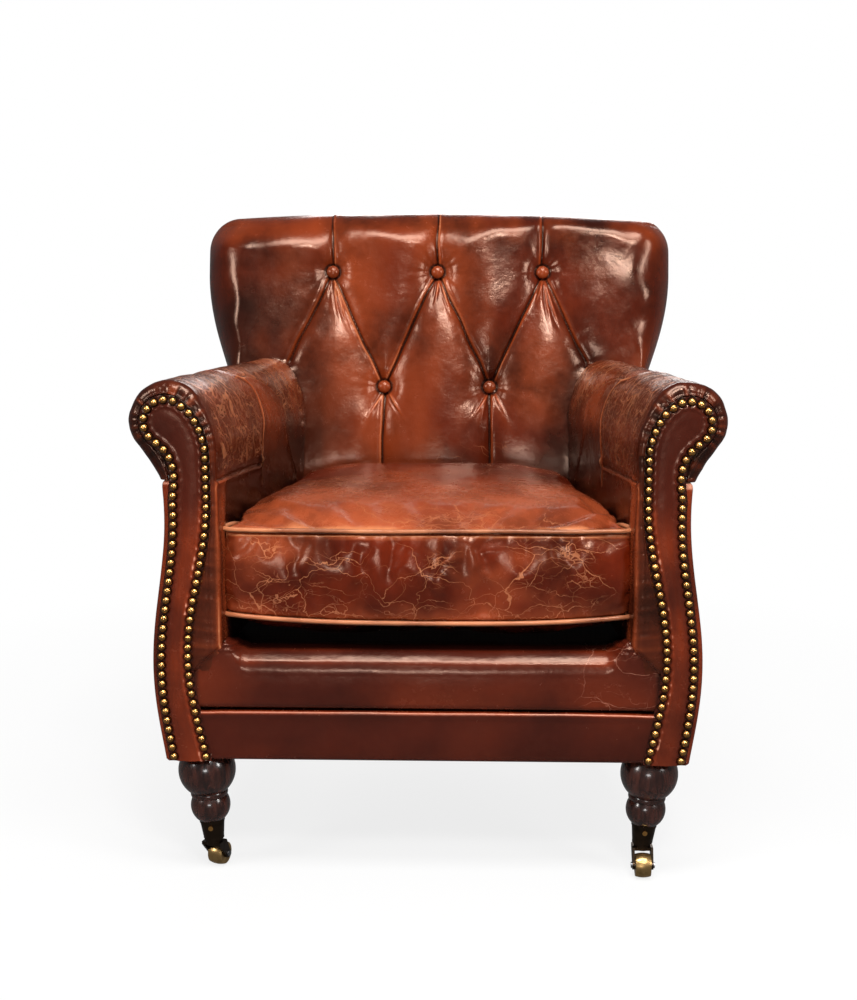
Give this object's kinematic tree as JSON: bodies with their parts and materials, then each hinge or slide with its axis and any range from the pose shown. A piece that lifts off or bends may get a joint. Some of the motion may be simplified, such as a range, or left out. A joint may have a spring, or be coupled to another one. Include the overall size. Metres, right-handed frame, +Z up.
{
  "type": "upholstered armchair",
  "caption": "Low leather armchair with scrolled, nailed arms, a buttoned reclined back, a loose piped seat cushion and turned front legs on swivel casters.",
  "frame": {"origin": "on the floor, under the middle of the chair's bounding box", "axes": "+Z up, -Y the way the chair faces, +X to the right as seen from the front"},
  "size_m": [0.74, 0.72, 0.845],
  "materials": {
    "frame_wood": "matte",
    "spring_steel": "satin",
    "webbing": "matte",
    "bottom_cloth": "matte",
    "leather_smooth": "gloss",
    "leather_arm": "gloss",
    "leather_back": "gloss",
    "leather_cushion": "gloss",
    "piping": "satin",
    "nail_brass": "polished",
    "leg_wood": "gloss",
    "caster_bronze": "satin",
    "wheel_brass": "satin",
    "glide_plastic": "matte"
  },
  "bodies": {
    "chair": {"front_rail": "frame_wood", "rear_rail": "frame_wood", "side_rail_left": "frame_wood", "side_rail_right": "frame_wood", "leg_blocks": "frame_wood", "arm_stump_left": "frame_wood", "arm_stump_right": "frame_wood", "arm_rail_left": "frame_wood", "arm_rail_right": "frame_wood", "arm_rear_post_left": "frame_wood", "arm_rear_post_right": "frame_wood", "back_post_left": "frame_wood", "back_post_right": "frame_wood", "back_top_rail": "frame_wood", "back_lower_rail": "frame_wood", "seat_springs": "spring_steel", "spring_clips": "spring_steel", "deck": "bottom_cloth", "back_webbing": "webbing", "dust_cover": "bottom_cloth", "front_roll": "leather_smooth", "front_border": "leather_smooth", "arm_left": "leather_arm", "arm_right": "leather_arm", "arm_facing_left": "leather_smooth", "arm_facing_right": "leather_smooth", "outside_arm_left": "leather_smooth", "outside_arm_right": "leather_smooth", "nailheads_left": "nail_brass", "nailheads_right": "nail_brass", "back_pad": "leather_back", "back_band": "leather_smooth", "outside_back": "leather_smooth", "back_buttons": "leather_back", "button_twines": "webbing", "front_leg_left": "leg_wood", "front_leg_right": "leg_wood", "rear_leg_left": "leg_wood", "rear_leg_right": "leg_wood", "leg_bolts": "spring_steel", "caster_cup_left": "caster_bronze", "caster_cup_right": "caster_bronze", "caster_screws": "nail_brass", "rear_glides": "glide_plastic"},
    "cushion": {"seat_cushion": "leather_cushion", "cushion_piping_top": "piping", "cushion_piping_bottom": "piping"},
    "caster_left": {"caster_fork_left": "caster_bronze", "caster_pin_left": "spring_steel", "caster_axle_left": "spring_steel"},
    "wheel_left": {"caster_wheel_left": "wheel_brass"},
    "caster_right": {"caster_fork_right": "caster_bronze", "caster_pin_right": "spring_steel", "caster_axle_right": "spring_steel"},
    "wheel_right": {"caster_wheel_right": "wheel_brass"}
  },
  "joints": [
    {"name": "cushion_lift", "type": "slide", "parent": "chair", "child": "cushion", "axis": [0, 0, 1], "range_m": [0, 0.25]},
    {"name": "caster_swivel_left", "type": "hinge", "parent": "chair", "child": "caster_left", "pos_m": [-0.28311, -0.314, 0.05], "axis": [0, 0, 1], "continuous": true},
    {"name": "caster_swivel_right", "type": "hinge", "parent": "chair", "child": "caster_right", "pos_m": [0.28311, -0.314, 0.05], "axis": [0, 0, 1], "continuous": true},
    {"name": "wheel_spin_left", "type": "hinge", "parent": "caster_left", "child": "wheel_left", "pos_m": [-0.27832, -0.30084, 0.016], "axis": [-0.9397, 0.342, 0], "continuous": true},
    {"name": "wheel_spin_right", "type": "hinge", "parent": "caster_right", "child": "wheel_right", "pos_m": [0.28311, -0.328, 0.016], "axis": [1, 0, 0], "continuous": true}
  ]
}
